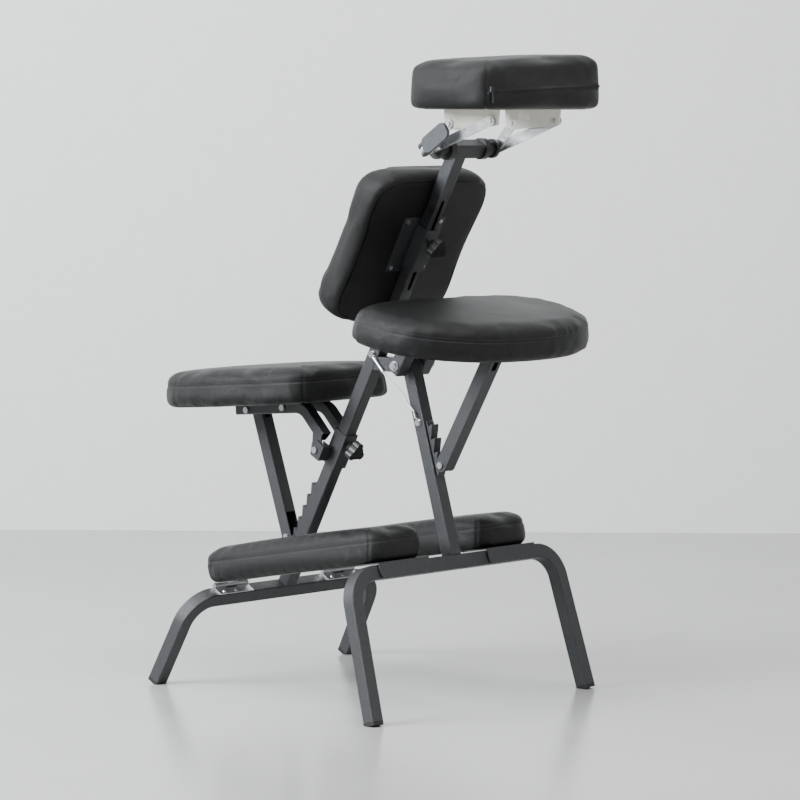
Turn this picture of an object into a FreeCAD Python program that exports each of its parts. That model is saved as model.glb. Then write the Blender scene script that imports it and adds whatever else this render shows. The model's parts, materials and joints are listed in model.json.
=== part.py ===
import FreeCAD, Part
import math
import os

# Kneeling massage chair. Working frame: X runs from the seat side to the arm-rest side,
# Y across the chair (the chair is symmetric about Y = 0), Z up from the floor.
# All lengths are in millimetres, all angles in degrees.

V = FreeCAD.Vector

# ---- driving dimensions: steel frame -------------------------------------------------
tube = 30.0                # outer side of every square frame tube
wall = 1.5                 # tube wall
tube_corner = 3.0          # outer corner radius of the tubes
foot_span = 683.5          # distance on the floor between the two post lines, along X
rear_lean = 27.9           # lean of the rear frame from upright
front_lean = 16.8          # lean of the front frame from upright
rear_half_width = 286.0    # rear foot centre from the middle plane
front_half_width = 321.0   # front foot centre from the middle plane
leg_splay = 3.0            # the legs spread by this angle inside their own plane
bend_radius = 62.0         # centreline radius of the leg bends
rear_bar_at = 212.0        # rear cross bar centre, measured up the rear frame
front_bar_at = 303.0       # front cross bar centre, measured up the front frame
rear_post_top = 819.0      # open top end of the rear post, up the rear frame
axle_at = 723.0            # frame hinge axle, measured up the front frame
post_above_axle = 15.0     # front post runs past the axle by this much

# ---- feet ------------------------------------------------------------------------------
cap_height = 8.0           # visible rubber of a foot cap
cap_plug = 18.0            # plug that sits inside the tube
cap_flat = 4.0             # how far the square cap is flattened where it meets the floor

# ---- fits ------------------------------------------------------------------------------
fit = 0.05                 # radial clearance of a pin or stud in its hole
slide_fit = 0.10           # clearance per side of a piece that slides on a tube
side_gap = 0.5             # gap between plates that turn against each other
soft_gap = 0.4             # gap between a cushion and hardware of another body
sheet = 3.0                # general bracket sheet thickness

# ---- saw-tooth racks -------------------------------------------------------------------
tooth_pitch = 28.8
tooth_height = 16.0
tooth_root = 4.0           # solid strip under the teeth
rack_width = 20.0
seat_rack_low = 301.0      # lower end, up the rear frame
seat_rack_teeth = 6
arm_rack_low = 484.0       # lower end, up the front frame
arm_rack_teeth = 4
catch_gap = 0.8            # clearance of a catch pin off the tooth tips

# ---- struts ----------------------------------------------------------------------------
strut_depth = 28.0
strut_wall = 2.0
pin_r = 4.0                # all pivot and catch pins
pin_head_r = 7.0
pin_head = 4.0

# ---- seat ------------------------------------------------------------------------------
seat_back_x = -160.0       # rear end of the saddle
seat_nose_x = 288.0        # front end, just behind the post
seat_lobe = 186.0          # half width of the wide rear lobe
seat_nose = 160.0          # half width of the nose
seat_under_z = 600.0       # underside of the board below seat_ref_x
seat_ref_x = 190.0
seat_rise = 5.0            # the seat climbs towards the post
seat_foam = 54.0
board = 10.0               # plywood under each cushion
board_inset = 9.0
carriage_low = 528.0       # seat slider, lower edge up the rear post
carriage_length = 82.0
seat_pivot_at = 553.0      # pivot of the seat arms, up the rear frame
seat_pivot_back = 24.0     # and behind the post line
arm_tube = 25.0            # tube of the seat arms
arm_gap = 19.0             # inner face of a seat arm from the middle plane
seat_arm_bend_x = 190.0    # the arms turn down here
arm_reach_x = 250.0        # front end of the seat arm tube
arm_reach_z = 528.0
arm_bend = 45.0
seat_strut_x = 22.0        # upper pivot of the seat strut
seat_strut_drop = 15.5     # pivot below the board
seat_tie_x = 134.0         # bolt that ties the two arms
seat_strut_at = 321.0      # catch pin, up the rear frame

# ---- arm rest --------------------------------------------------------------------------
arm_mid_x = 658.0
arm_half_depth = 148.0
arm_half_width = 290.0
arm_bow = 34.0             # kidney curve
arm_fall = 10.0            # slopes down away from the sitter
arm_ref_x = 700.0
arm_under_z = 738.0        # underside of the board at arm_ref_x
arm_foam = 50.0
ear_lean = 32.0            # lean of the two hinge tubes under the arm rest
ear_below = 16.0           # hinge tube runs past the axle by this much
arm_strut_x = 706.0        # upper pivot of the arm strut
arm_strut_drop = 18.0      # pivot below the board
arm_strut_at = 502.0       # catch pin, up the front frame

# ---- knee rests ------------------------------------------------------------------------
knee_mid_y = 161.0
knee_length = 522.0
knee_width = 178.0
knee_foam = 50.0
knee_hinge_width = 96.0
knee_hinge_pin_r = 3.0
knee_leaf_sheet = 2.4
knee_screw_pitch = 32.0
knee_screw_off = 7.0       # screw line in front of the bar's middle
knee_screw_r = 2.0
hook_width = 146.0
hook_drop = 30.0

# ---- chest pad -------------------------------------------------------------------------
chest_at = 1044.0          # centre of the pad, up the rear frame
chest_half_height = 172.0
chest_half_width = 164.0
chest_foam = 55.0
track_top = 1268.0
track_in_post = 120.0
slot_low = 965.0
slot_high = 1178.0
slot_width = 2 * pin_r + 1.0    # the knob's stud slides in the slot
bracket_at = 1060.0
bracket_length = 98.0
bracket_wing = 60.0
wing_beyond = 15.0         # the screwed wings are longer than the bracket at each end
chest_knob_at = 1082.0

# ---- head rest -------------------------------------------------------------------------
head_post_low = 1186.0
cross_at = 1300.0          # cross tube axis, up the rear frame
cross_off = 14.0           # and in front of the post line
cross_half = 44.0
bush_length = 42.0
bush_r = 22.0
lever_y = 98.0             # middle plane of the levers
lever_thick = 4.0
lever_width = 20.0
lever_rear = (46.0, 52.0)  # rear lever pin from the axle
lever_front = (163.0, 59.0)
platform_length = 186.0
platform_width = 300.0
platform_thick = 5.0
platform_above_pin = 22.0
head_length = 228.0
head_width = 364.0
head_foam = 88.0
head_mid = 112.0           # cushion centre in front of the axle
cam_out = 118.0            # cam pin from the middle plane
cam_lean = 57.0            # the closed cam lever points up and forward
cam_length = 74.0

# ---- derived places --------------------------------------------------------------------
rear_place = FreeCAD.Placement(V(0, 0, 0), FreeCAD.Rotation(V(0, 1, 0), rear_lean))
front_place = FreeCAD.Placement(V(foot_span, 0, 0), FreeCAD.Rotation(V(0, 1, 0), -front_lean))
half = tube / 2


def rear(off, y, s):
    """A point given in the rear frame's own plane: off is forward, s is up the frame."""
    return rear_place.multVec(V(off, y, s))


def front(off, y, s):
    return front_place.multVec(V(off, y, s))


axle = front(0, 0, axle_at)
seat_pivot = rear(-seat_pivot_back, 0, seat_pivot_at)
track_side = tube - 2 * wall - 2 * slide_fit         # track slides inside post and head tube

nodes = {}


# ---- shape helpers ---------------------------------------------------------------------
def block(x0, x1, y0, y1, z0, z1):
    return Part.makeBox(x1 - x0, y1 - y0, z1 - z0, V(x0, y0, z0))


def rod_y(radius, x, z, y0, y1):
    return Part.makeCylinder(radius, y1 - y0, V(x, y0, z), V(0, 1, 0))


def hex_y(across, x, z, y0, y1):
    corners = []
    for i in range(7):
        a = math.radians(60 * i)
        corners.append(V(x + across / 2 * math.cos(a), y0, z + across / 2 * math.sin(a)))
    return Part.Face(Part.makePolygon(corners)).extrude(V(0, y1 - y0, 0))


def slab(points, y0, y1):
    """Flat plate from an outline of (x, z) points, between two Y planes."""
    loop = [V(x, y0, z) for x, z in points]
    loop.append(loop[0])
    return Part.Face(Part.makePolygon(loop)).extrude(V(0, y1 - y0, 0))


def link(a, b, radius, y0, y1):
    """Flat bar with round ends from (x, z) point a to point b."""
    ax, az = a
    bx, bz = b
    run = math.hypot(bx - ax, bz - az)
    nx = -(bz - az) / run * radius
    nz = (bx - ax) / run * radius
    bar = slab([(ax + nx, az + nz), (bx + nx, bz + nz), (bx - nx, bz - nz), (ax - nx, az - nz)], y0, y1)
    bar = bar.fuse(rod_y(radius, ax, az, y0, y1))
    return bar.fuse(rod_y(radius, bx, bz, y0, y1)).removeSplitter()


def rounded_bar(side_x, side_y, length, corner):
    body = Part.makeBox(side_x, side_y, length, V(-side_x / 2, -side_y / 2, 0))
    upright = [e for e in body.Edges if abs(e.Vertexes[0].Z - e.Vertexes[-1].Z) > length / 2]
    return body.makeFillet(corner, upright)


def square_tube(side, thick, length, corner):
    """Hollow tube along +Z, its axis on the Z axis."""
    outer = rounded_bar(side, side, length, corner)
    inner = rounded_bar(side - 2 * thick, side - 2 * thick, length, max(corner - thick, 0.5))
    return outer.cut(inner)


def bent_path(points, radius):
    """Straight runs joined by tangent arcs of one radius, or one radius a corner."""
    edges = []
    start = points[0]
    for i in range(1, len(points) - 1):
        r = radius if not isinstance(radius, list) else radius[i - 1]
        into = (points[i] - points[i - 1]).normalize()
        away = (points[i + 1] - points[i]).normalize()
        turn = into.getAngle(away)
        back = r * math.tan(turn / 2)
        p = points[i] - into * back
        q = points[i] + away * back
        bisect = (away - into).normalize()
        mid = points[i] + bisect * (r / math.cos(turn / 2) - r)
        edges.append(Part.LineSegment(start, p).toShape())
        edges.append(Part.Arc(p, mid, q).toShape())
        start = q
    edges.append(Part.LineSegment(start, points[-1]).toShape())
    return Part.Wire(edges)


def square_section(side, corner, at, along):
    body = rounded_bar(side, side, 1.0, corner)
    base = min(body.Faces, key=lambda f: f.CenterOfMass.z)
    wire = base.OuterWire.copy()
    wire.Placement = FreeCAD.Placement(at, FreeCAD.Rotation(V(0, 0, 1), along)).multiply(wire.Placement)
    return wire


def bent_tube(points, radius, side, thick, corner):
    path = bent_path(points, radius)
    along = points[1] - points[0]
    outer = path.makePipeShell([square_section(side, corner, points[0], along)], True, False)
    inner_side = side - 2 * thick
    inner_corner = max(corner - thick, 0.5)
    inner = path.makePipeShell([square_section(inner_side, inner_corner, points[0], along)], True, False)
    return outer.cut(inner)


def soft_outline(a, b, power, taper=0.0, waist=0.0, bow=0.0, grow=0.0, count=56):
    """Closed curve of a cushion: a along local X, b along local Y, rounder with a lower power."""
    a = a + grow
    b = b + grow
    points = []
    for i in range(count):
        t = 2 * math.pi * i / count
        c = math.cos(t)
        s = math.sin(t)
        u = math.copysign(abs(c) ** (2 / power), c)
        w = math.copysign(abs(s) ** (2 / power), s)
        points.append(V(a * u - bow * (w * w - 0.33), b * w * (1 + taper * u + waist * u * u), 0))
    curve = Part.BSplineCurve()
    curve.interpolate(points, PeriodicFlag=True)
    return Part.Face(Part.Wire(curve.toShape()))


def cushion(outline, base, thick, place):
    """Extrude an outline between two heights of a local frame and put it in place."""
    outline.translate(V(0, 0, base))
    body = outline.extrude(V(0, 0, thick))
    return body.transformGeometry(place.toMatrix())


def joined(shapes):
    whole = shapes[0]
    for shape in shapes[1:]:
        whole = whole.fuse(shape)
    return whole.removeSplitter()


def mirrored(shape):
    return shape.mirror(V(0, 0, 0), V(0, 1, 0))


def both(shape):
    return Part.makeCompound([shape, mirrored(shape)])


def placed(shape, place):
    shape = shape.copy()
    shape.Placement = place.multiply(shape.Placement)
    return shape


def pin_y(x, z, y0, y1):
    """Pivot pin along Y with a button head at each end."""
    shank = rod_y(pin_r, x, z, y0, y1)
    near = rod_y(pin_head_r, x, z, y0 - pin_head, y0)
    far = rod_y(pin_head_r, x, z, y1, y1 + pin_head)
    return joined([shank, near, far])


# ---- leg frames ------------------------------------------------------------------------
def leg_points(half_width, bar_at, start):
    lean_in = math.tan(math.radians(leg_splay))
    low = half_width - lean_in * start
    high = half_width - lean_in * bar_at
    return [V(0, -low, start), V(0, -high, bar_at), V(0, high, bar_at), V(0, low, start)]


def leg_start(lean):
    """Where the tube ends, so that the flattened cap below it stands on the floor."""
    a = math.radians(lean)
    floor_end = (half * math.sin(a) - cap_flat) / math.cos(a)
    return floor_end + cap_height


def leg_frame(half_width, bar_at, lean):
    points = leg_points(half_width, bar_at, leg_start(lean))
    return bent_tube(points, bend_radius, tube, wall, tube_corner)


def foot_caps(half_width, bar_at, lean, place):
    points = leg_points(half_width, bar_at, leg_start(lean))
    up = (points[1] - points[0]).normalize()
    turn = FreeCAD.Rotation(V(0, 0, 1), up)
    cap = rounded_bar(tube, tube, cap_height, tube_corner)
    plug_side = tube - 2 * wall - 2 * fit
    plug = rounded_bar(plug_side, plug_side, cap_plug, tube_corner - wall)
    plug.translate(V(0, 0, cap_height))
    cap = joined([cap, plug])
    cap.Placement = FreeCAD.Placement(points[0] - up * cap_height, turn)
    cap = placed(cap, place)
    floor = block(-2000, 2000, -1000, 0, -100, 0)
    cap = cap.cut(floor)
    return both(cap)


def post_tube(low, high):
    post = square_tube(tube, wall, high - low, tube_corner)
    post.translate(V(0, 0, low))
    return post


nodes["rear_leg_frame"] = placed(leg_frame(rear_half_width, rear_bar_at, rear_lean), rear_place)
nodes["front_leg_frame"] = placed(leg_frame(front_half_width, front_bar_at, front_lean), front_place)
nodes["rear_feet"] = foot_caps(rear_half_width, rear_bar_at, rear_lean, rear_place)
nodes["front_feet"] = foot_caps(front_half_width, front_bar_at, front_lean, front_place)

track_bolt_at = rear_post_top - 16.0
rear_post = post_tube(rear_bar_at + half, rear_post_top)
rear_post = rear_post.cut(rod_y(pin_r + fit, 0, track_bolt_at, -half - 1, half + 1))
nodes["rear_post"] = placed(rear_post, rear_place)

front_post = post_tube(front_bar_at + half, axle_at + post_above_axle)
front_post = front_post.cut(rod_y(pin_r + 1 + fit, 0, axle_at, -half - 1, half + 1))
cable_screw_at = axle_at - 122.0
front_post = front_post.cut(rod_y(pin_r - 1 + fit, 0, cable_screw_at, -half - 1, 0))
nodes["front_post"] = placed(front_post, front_place)


# ---- racks -----------------------------------------------------------------------------
def rack(low, teeth, facing):
    """Saw-tooth strip on a post face. Each tooth has a ledge on top and a long ramp below."""
    face = facing * half
    root = facing * (half + tooth_root)
    tip = facing * (half + tooth_height)
    outline = [(face, low), (root, low)]
    for i in range(teeth):
        ledge = low + tooth_pitch * (i + 1) - 11.0
        outline.append((tip, ledge))
        outline.append((tip - facing * 1.5, ledge + 1.5))
        outline.append((root, ledge))
    high = low + tooth_pitch * teeth + 2.0
    outline.append((root, high - 4.0))
    outline.append((face, high))
    return slab(outline, -rack_width / 2, rack_width / 2)


nodes["seat_rack"] = placed(rack(seat_rack_low, seat_rack_teeth, -1), rear_place)
nodes["arm_rack"] = placed(rack(arm_rack_low, arm_rack_teeth, 1), front_place)

# ---- frame hinge -----------------------------------------------------------------------
stub_reach = 35.0          # the stub stops this far behind the axle
stub_drop = 2.0            # and lies a little below it
plate_in = half + side_gap / 2
hinge_plate = 4.0
plate_out = plate_in + hinge_plate


def hinge_arm():
    """Level stub welded to the front face of the rear post, with two plates that hold the axle."""
    level = axle.z - stub_drop
    tail = axle.x - stub_reach - 90.0
    stub = square_tube(tube, 2.0, axle.x - stub_reach - tail, tube_corner)
    stub.Placement = FreeCAD.Placement(V(tail, 0, level), FreeCAD.Rotation(V(0, 0, 1), V(1, 0, 0)))
    behind_face = placed(block(-400, half, -100, 100, 0, 2000), rear_place)
    stub = stub.cut(behind_face)
    plate = link((axle.x - stub_reach - 14.0, level), (axle.x, axle.z), 14.0, plate_in, plate_out)
    stub_end = axle.x - stub_reach
    spacer = block(stub_end - 24.0, stub_end - 2.0, half, plate_in, level - 9.0, level + 9.0)
    bore = rod_y(pin_r + 1 + fit, axle.x, axle.z, plate_in - 1, plate_out + 1)
    side = joined([plate, spacer]).cut(bore)
    return joined([stub, side, mirrored(side)])


nodes["hinge_arm"] = hinge_arm()

ear_in = plate_out + side_gap
ear_out = ear_in + tube


def hinge_axle():
    shank = rod_y(pin_r + 1, axle.x, axle.z, -ear_out - 3.0, ear_out + 3.0)
    near_washer = rod_y(11.0, axle.x, axle.z, -ear_out - 3.0, -ear_out - 0.3)
    far_washer = rod_y(11.0, axle.x, axle.z, ear_out + 0.3, ear_out + 3.0)
    head = hex_y(17.0, axle.x, axle.z, -ear_out - 9.0, -ear_out - 3.0)
    nut = hex_y(17.0, axle.x, axle.z, ear_out + 3.0, ear_out + 11.0)
    return joined([shank, near_washer, far_washer, head, nut])


nodes["hinge_axle"] = hinge_axle()


# ---- chest track and its bolt ----------------------------------------------------------
def chest_track():
    low = rear_post_top - track_in_post
    track = square_tube(track_side, 2.0, track_top - low, 2.0)
    track.translate(V(0, 0, low))
    across = slot_width / 2
    slot = block(0, half, -across, across, slot_low + across, slot_high - across)
    for end in (slot_low + across, slot_high - across):
        slot = slot.fuse(Part.makeCylinder(across, half, V(0, 0, end), V(1, 0, 0)))
    bolt_hole = rod_y(pin_r + fit, 0, track_bolt_at, -half, half)
    return track.cut(slot).cut(bolt_hole)


nodes["chest_track"] = placed(chest_track(), rear_place)

eye_thick = 2.0


def track_bolt():
    shank = rod_y(pin_r, 0, track_bolt_at, -half - eye_thick - 0.2, half)
    head = rod_y(pin_head_r, 0, track_bolt_at, -half - eye_thick - 4.2, -half - eye_thick - 0.2)
    nut = hex_y(13.0, 0, track_bolt_at, half, half + 6.0)
    return joined([shank, head, nut])


nodes["track_bolt"] = placed(track_bolt(), rear_place)
nodes["cable_screw"] = placed(joined([
    rod_y(pin_r - 1, 0, cable_screw_at, -half - eye_thick - 0.2, -half + 8.0),
    rod_y(pin_head_r - 1, 0, cable_screw_at, -half - eye_thick - 3.7, -half - eye_thick - 0.2),
]), front_place)

# ---- safety cable ----------------------------------------------------------------------
cable_r = 2.0
crimp_r = 3.8
eye_r = 7.5
cable_y = -half - 4.2
cable_top = rear(0, cable_y, track_bolt_at)
cable_low = front(0, cable_y, cable_screw_at)


def cable_route():
    """Centreline from one crimp to the other: a little slack hangs between the two posts."""
    return [V(cable_top.x + 35.0, cable_y, cable_top.z - 35.0),
            V(cable_top.x + 57.0, cable_y, cable_top.z - 56.0),
            V(cable_top.x + 86.0, cable_y, cable_top.z - 69.0),
            V(cable_low.x - 29.0, cable_y, cable_low.z + 39.0),
            V(cable_low.x - 9.0, cable_y, cable_low.z + 22.0)]


def cable_radii(points):
    radii = []
    for i in range(1, len(points) - 1):
        into = points[i] - points[i - 1]
        away = points[i + 1] - points[i]
        turn = into.getAngle(away)
        radii.append(0.45 * min(into.Length, away.Length) / math.tan(turn / 2))
    return radii


def round_tube(points, radii, radius):
    path = bent_path(points, radii)
    ring = Part.Wire(Part.makeCircle(radius, points[0], points[1] - points[0]))
    return path.makePipeShell([ring], True, False)


def crimp(eye_at, cable_end, gap):
    """Pressed sleeve with a flat eye for the screw. It ends just short of the bare cable."""
    run = V(cable_end.x - eye_at.x, 0, cable_end.z - eye_at.z)
    away = V(run)
    away.normalize()
    eye = rod_y(eye_r, eye_at.x, eye_at.z, -half - eye_thick - 0.1, -half - 0.1)
    neck_end = eye_at + away * 15.0
    neck = link((eye_at.x, eye_at.z), (neck_end.x, neck_end.z), 3.6, -half - eye_thick - 0.1, -half - 0.1)
    sleeve_start = V(eye_at.x, cable_y, eye_at.z) + away * 9.0
    length = run.Length - 9.0 - gap
    sleeve = Part.makeCylinder(crimp_r, length, sleeve_start, away)
    return joined([eye, neck, sleeve])


route = cable_route()
radii = cable_radii(route)
print("safety cable radii", [round(r, 1) for r in radii])
safety_cable = round_tube(route, radii, cable_r)
print("safety cable volume over section", round(safety_cable.Volume / (math.pi * cable_r ** 2), 1))
nodes["safety_cable"] = safety_cable
bolt_clear = placed(rod_y(pin_r + fit, 0, track_bolt_at, -half - 9, -half), rear_place)
top_crimp = crimp(cable_top, route[0], 0.2).cut(bolt_clear)
low_crimp = crimp(cable_low, route[-1], 2.0).cut(
    placed(rod_y(pin_r - 1 + fit, 0, cable_screw_at, -half - 9, -half), front_place))
nodes["cable_end_top"] = top_crimp
nodes["cable_end_low"] = low_crimp


# ---- struts ----------------------------------------------------------------------------
def strut(length, open_side):
    """Square strut from its catch pin at Z = 0 to its pivot at Z = length.
    The wall on open_side is cut away at the foot so that the rack enters."""
    deep = strut_depth / 2
    body = block(-deep, deep, -half, half, 0, length)
    body = body.fuse(rod_y(deep, 0, 0, -half, half))
    body = body.fuse(rod_y(deep, 0, length, -half, half))
    hollow = block(-deep + strut_wall, deep - strut_wall, -half + strut_wall, half - strut_wall,
                   -deep - 1, length + deep + 1)
    body = body.cut(hollow)
    mouth = block(0, open_side * deep, -half + strut_wall, half - strut_wall, -deep, 52.0) \
        if open_side > 0 else block(-deep, 0, -half + strut_wall, half - strut_wall, -deep, 52.0)
    body = body.cut(mouth)
    slot = block(0, deep + 1, -6.5, 6.5, length - 22.0, length + deep + 1)
    body = body.cut(slot)
    for z in (0, length):
        body = body.cut(rod_y(pin_r + fit, 0, z, -half - 1, half + 1))
    return body.removeSplitter()


def strut_between(low, high, open_side):
    run = V(high.x - low.x, 0, high.z - low.z)
    lean = math.degrees(math.atan2(run.x, run.z))
    place = FreeCAD.Placement(V(low.x, 0, low.z), FreeCAD.Rotation(V(0, 1, 0), lean))
    return placed(strut(run.Length, open_side), place)


catch_off = half + tooth_height + catch_gap + pin_r
seat_catch = rear(-catch_off, 0, seat_strut_at)
arm_catch = front(catch_off, 0, arm_strut_at)

# ---- seat ------------------------------------------------------------------------------
seat_tan = math.tan(math.radians(seat_rise))
seat_place = FreeCAD.Placement(V(seat_ref_x, 0, seat_under_z), FreeCAD.Rotation(V(0, 1, 0), -seat_rise))


def saddle_outline(inset):
    """Wide rear lobe that narrows to a blunt nose. X is measured from seat_ref_x."""
    back = seat_back_x - seat_ref_x + inset
    nose = seat_nose_x - seat_ref_x - inset
    lobe = seat_lobe - inset
    tip = seat_nose - inset
    side = [(nose, tip * 0.5), (nose - 14.0, tip * 0.84), (nose - 50.0, tip), (nose - 96.0, tip + 14.0),
            (nose - 150.0, lobe - 12.0), (nose - 215.0, lobe), (nose - 300.0, lobe - 6.0),
            (back + 48.0, lobe - 34.0), (back + 10.0, lobe - 88.0)]
    outline = [V(nose + 2.0, 0, 0)]
    outline += [V(x, y, 0) for x, y in side]
    outline.append(V(back, 0, 0))
    outline += [V(x, -y, 0) for x, y in reversed(side)]
    curve = Part.BSplineCurve()
    curve.interpolate(outline, PeriodicFlag=True)
    return Part.Face(Part.Wire(curve.toShape()))


nodes["seat_board"] = cushion(saddle_outline(board_inset), 0, board, seat_place)
nodes["seat_pad"] = cushion(saddle_outline(0), board, seat_foam, seat_place)


def seat_line(x, below):
    """A point under the seat, a given distance below the board."""
    z = seat_under_z + (x - seat_ref_x) * seat_tan
    return V(x + below * math.sin(math.radians(seat_rise)), 0, z - below * math.cos(math.radians(seat_rise)))


rail_drop = arm_tube / 2
seat_strut_top = seat_line(seat_strut_x, seat_strut_drop)
seat_tie = seat_line(seat_tie_x, rail_drop)


def seat_arm():
    y = arm_gap + arm_tube / 2
    start = seat_line(-12.0, rail_drop)
    corner = seat_line(seat_arm_bend_x, rail_drop)
    points = [V(start.x, y, start.z), V(corner.x, y, corner.z), V(arm_reach_x, y, arm_reach_z)]
    arm = bent_tube(points, arm_bend, arm_tube, 2.0, tube_corner)
    lug_y = arm_gap + arm_tube - 4.0
    down = V(points[2] - points[1]).normalize()
    root = points[2] - down * 14.0
    lug = link((root.x, root.z), (seat_pivot.x, seat_pivot.z), 13.0, lug_y, lug_y + 4.0)
    hollow_side = rod_y(pin_r + fit, seat_pivot.x, seat_pivot.z, arm_gap, arm_gap + arm_tube + 1)
    arm = joined([arm, lug]).cut(hollow_side)
    for at in (seat_strut_top, seat_tie):
        arm = arm.cut(rod_y(pin_r + fit, at.x, at.z, arm_gap - 1, arm_gap + arm_tube + 1))
    return arm


nodes["seat_arms"] = both(seat_arm())
arm_out = arm_gap + arm_tube
nodes["seat_strut_bolt"] = pin_y(seat_strut_top.x, seat_strut_top.z, -arm_out, arm_out)
nodes["seat_tie_bolt"] = pin_y(seat_tie.x, seat_tie.z, -arm_out, arm_out)
nodes["seat_strut"] = strut_between(seat_catch, seat_strut_top, 1)
nodes["seat_catch_pin"] = pin_y(seat_catch.x, seat_catch.z, -half, half)

# ---- seat carriage ---------------------------------------------------------------------
sleeve_in = half + slide_fit
sleeve_out = sleeve_in + sheet
cheek_in = arm_out + side_gap
cheek_out = cheek_in + sheet
knob_at = carriage_low + carriage_length - 24.0


def seat_carriage():
    high = carriage_low + carriage_length
    outer = block(-sleeve_out, sleeve_out, -sleeve_out, sleeve_out, carriage_low, high)
    inner = block(-sleeve_in, sleeve_in, -sleeve_in, sleeve_in, carriage_low - 1, high + 1)
    sleeve = outer.cut(inner)
    web_low = seat_pivot_at - 16.0
    web = block(-8.0, -8.0 + sheet, sleeve_in, cheek_out, web_low, web_low + 34.0)
    back = -seat_pivot_back
    cheek = slab([(-5.0, web_low), (-5.0, web_low + 34.0), (back - 4.0, web_low + 38.0),
                  (back - 16.0, web_low + 26.0), (back - 8.0, web_low)], cheek_in, cheek_out)
    wing = joined([web, cheek]).cut(rod_y(pin_r + fit, back, seat_pivot_at, cheek_in - 1, cheek_out + 1))
    lug = block(back - 12.0, -sleeve_in, sleeve_in, sleeve_out, seat_pivot_at - 12.0, seat_pivot_at + 12.0)
    lug = lug.cut(rod_y(pin_r + fit, back, seat_pivot_at, sleeve_in - 1, sleeve_out + 1))
    stud_hole = Part.makeCylinder(pin_r + fit, 10.0, V(sleeve_in - 2, 0, knob_at), V(1, 0, 0))
    return joined([sleeve, wing, mirrored(wing), lug, mirrored(lug)]).cut(stud_hole)


nodes["seat_carriage"] = placed(seat_carriage(), rear_place)
nodes["seat_pivot_bolt"] = pin_y(seat_pivot.x, seat_pivot.z, -cheek_out, cheek_out)


def wing_knob(reach, tip):
    """Clamp knob on a stud along +X: the stud starts at X = tip."""
    stud = Part.makeCylinder(pin_r, reach - tip, V(tip, 0, 0), V(1, 0, 0))
    hub = Part.makeCone(11.0, 14.0, 12.0, V(reach - 8.0, 0, 0), V(1, 0, 0))
    grip = Part.makeCylinder(15.0, 16.0, V(reach + 4.0, 0, 0), V(1, 0, 0))
    for i in range(3):
        a = math.radians(90 + 120 * i)
        foot = V(reach + 4.0, 14.0 * math.cos(a), 14.0 * math.sin(a))
        lobe = Part.makeCylinder(9.0, 16.0, foot, V(1, 0, 0))
        grip = grip.fuse(lobe)
    return joined([stud, hub, grip])


seat_knob = wing_knob(sleeve_out + 12.0, half + 0.1)
seat_knob.translate(V(0, 0, knob_at))
nodes["seat_knob"] = placed(seat_knob, rear_place)

# ---- arm rest --------------------------------------------------------------------------
arm_tan = math.tan(math.radians(arm_fall))
arm_place = FreeCAD.Placement(
    V(arm_mid_x, 0, arm_under_z - (arm_mid_x - arm_ref_x) * arm_tan),
    FreeCAD.Rotation(V(0, 1, 0), arm_fall))
nodes["arm_board"] = cushion(
    soft_outline(arm_half_depth, arm_half_width, 2.6, bow=arm_bow, grow=-board_inset), 0, board, arm_place)
nodes["arm_pad"] = cushion(
    soft_outline(arm_half_depth, arm_half_width, 2.6, bow=arm_bow), board, arm_foam, arm_place)


def arm_line(x, below):
    z = arm_under_z - (x - arm_ref_x) * arm_tan
    a = math.radians(arm_fall)
    return V(x - below * math.sin(a), 0, z - below * math.cos(a))


def arm_bracket():
    """Two hinge tubes welded to a plate that is screwed under the board."""
    lean = math.radians(ear_lean)
    up = V(math.sin(lean), 0, math.cos(lean))
    low = axle - up * ear_below
    y = ear_in + tube / 2
    ear = square_tube(tube, wall, 150.0, tube_corner)
    ear.Placement = FreeCAD.Placement(V(low.x, y, low.z), FreeCAD.Rotation(V(0, 1, 0), ear_lean))
    a = math.radians(arm_fall)
    above = block(-400, 400, -200, 200, -sheet, 400)
    above = placed(above, FreeCAD.Placement(arm_line(arm_ref_x, 0), FreeCAD.Rotation(V(0, 1, 0), arm_fall)))
    ear = ear.cut(above)
    ear = ear.cut(rod_y(pin_r + 1 + fit, axle.x, axle.z, ear_in - 1, ear_out + 1))
    plate = block(-58.0, 62.0, -ear_out - 6.0, ear_out + 6.0, -sheet, 0)
    seat_at = arm_line(axle.x + 62.0, 0)
    plate = placed(plate, FreeCAD.Placement(seat_at, FreeCAD.Rotation(V(0, 1, 0), arm_fall)))
    return joined([plate, ear, mirrored(ear)])


nodes["arm_bracket"] = arm_bracket()
arm_strut_top = arm_line(arm_strut_x, arm_strut_drop)


def arm_clevis():
    inner = half + side_gap
    base = block(-22.0, 22.0, -inner - sheet, inner + sheet, -sheet, 0)
    cheek = block(-12.0, 12.0, inner, inner + sheet, -arm_strut_drop, 0)
    cheek = cheek.fuse(rod_y(12.0, 0, -arm_strut_drop, inner, inner + sheet))
    cheek = cheek.cut(rod_y(pin_r + fit, 0, -arm_strut_drop, inner - 1, inner + sheet + 1))
    whole = joined([base, cheek, mirrored(cheek)])
    at = arm_line(arm_strut_x, 0)
    return placed(whole, FreeCAD.Placement(at, FreeCAD.Rotation(V(0, 1, 0), arm_fall)))


nodes["arm_clevis"] = arm_clevis()
clevis_out = half + side_gap + sheet
nodes["arm_strut_bolt"] = pin_y(arm_strut_top.x, arm_strut_top.z, -clevis_out, clevis_out)
nodes["arm_strut"] = strut_between(arm_catch, arm_strut_top, -1)
nodes["arm_catch_pin"] = pin_y(arm_catch.x, arm_catch.z, -half, half)

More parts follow.
